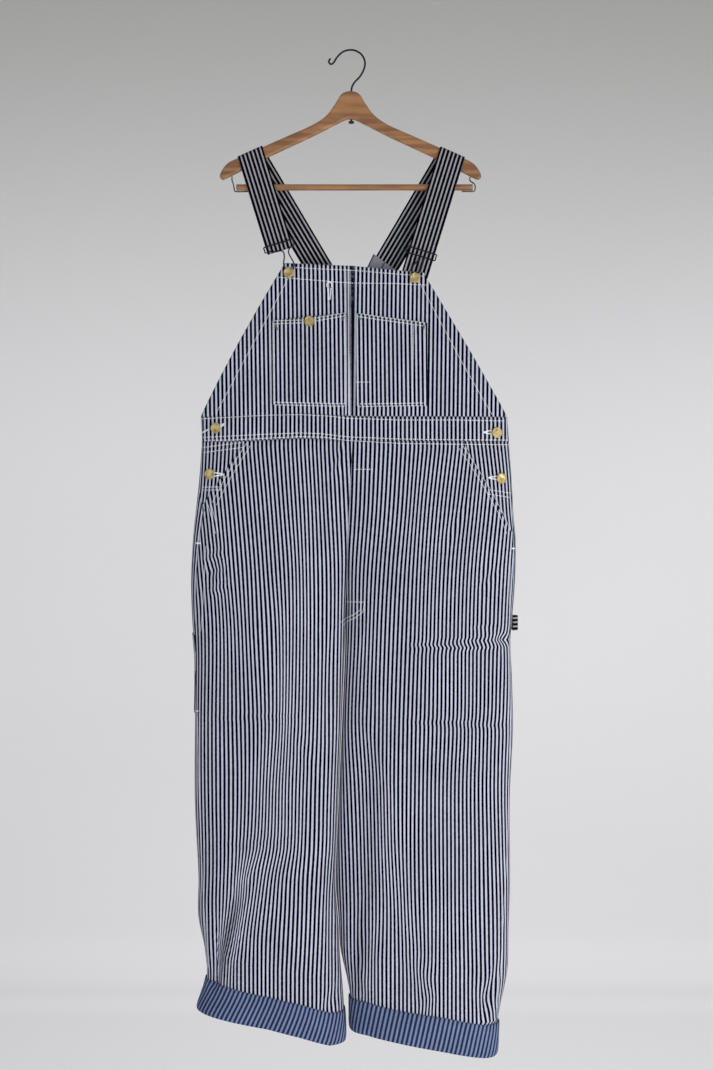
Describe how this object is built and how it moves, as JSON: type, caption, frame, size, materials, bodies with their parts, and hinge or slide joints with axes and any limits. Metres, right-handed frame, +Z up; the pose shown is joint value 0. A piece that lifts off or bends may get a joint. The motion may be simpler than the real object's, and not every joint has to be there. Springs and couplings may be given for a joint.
{
  "type": "dungarees on a hanger",
  "caption": "Striped bib dungarees with slanted hip pockets and turned-up legs, hanging by their straps from a wooden hanger.",
  "frame": {"origin": "inside top of the hanger's hook, where a rod or peg carries it", "axes": "+Z up; -Y out of the garment's front; +X to the wearer's left"},
  "size_m": [0.5403, 0.1053, 1.6646],
  "materials": {
    "twill": "cotton twill striped navy and off-white",
    "reverse": "wrong side of the striped twill",
    "brass": "stamped, satin",
    "black_wire": "blackened",
    "steel_wire": "dull",
    "wood": "honey brown, satin varnish"
  },
  "bodies": {
    "root": {"bib_right": "twill", "bib_left": "twill", "chest_pocket_right": "twill", "chest_pocket_left": "twill", "waistband_front": "twill", "back_bib": "twill", "leg_front_right": "twill", "leg_back_right": "twill", "hip_facing_right": "twill", "leg_front_left": "twill", "leg_back_left": "twill", "hip_facing_left": "twill", "rule_pocket": "twill", "hammer_loop": "twill", "cuff_right": "reverse", "cuff_left": "reverse", "strap_right": "twill", "strap_left": "twill", "strap_patch": "reverse", "slide_right": "black_wire", "slide_left": "black_wire", "button_loop_right": "black_wire", "button_loop_left": "black_wire", "button_bib_right": "brass", "button_bib_left": "brass", "button_chest": "brass", "button_waist_right": "brass", "button_side_right": "brass", "button_waist_left": "brass", "button_side_left": "brass", "hanger_body": "wood", "hanger_bar": "wood", "hanger_hook": "black_wire", "hanger_nut": "black_wire", "hanger_wire_right": "steel_wire", "hanger_wire_left": "steel_wire"}
  },
  "joints": []
}
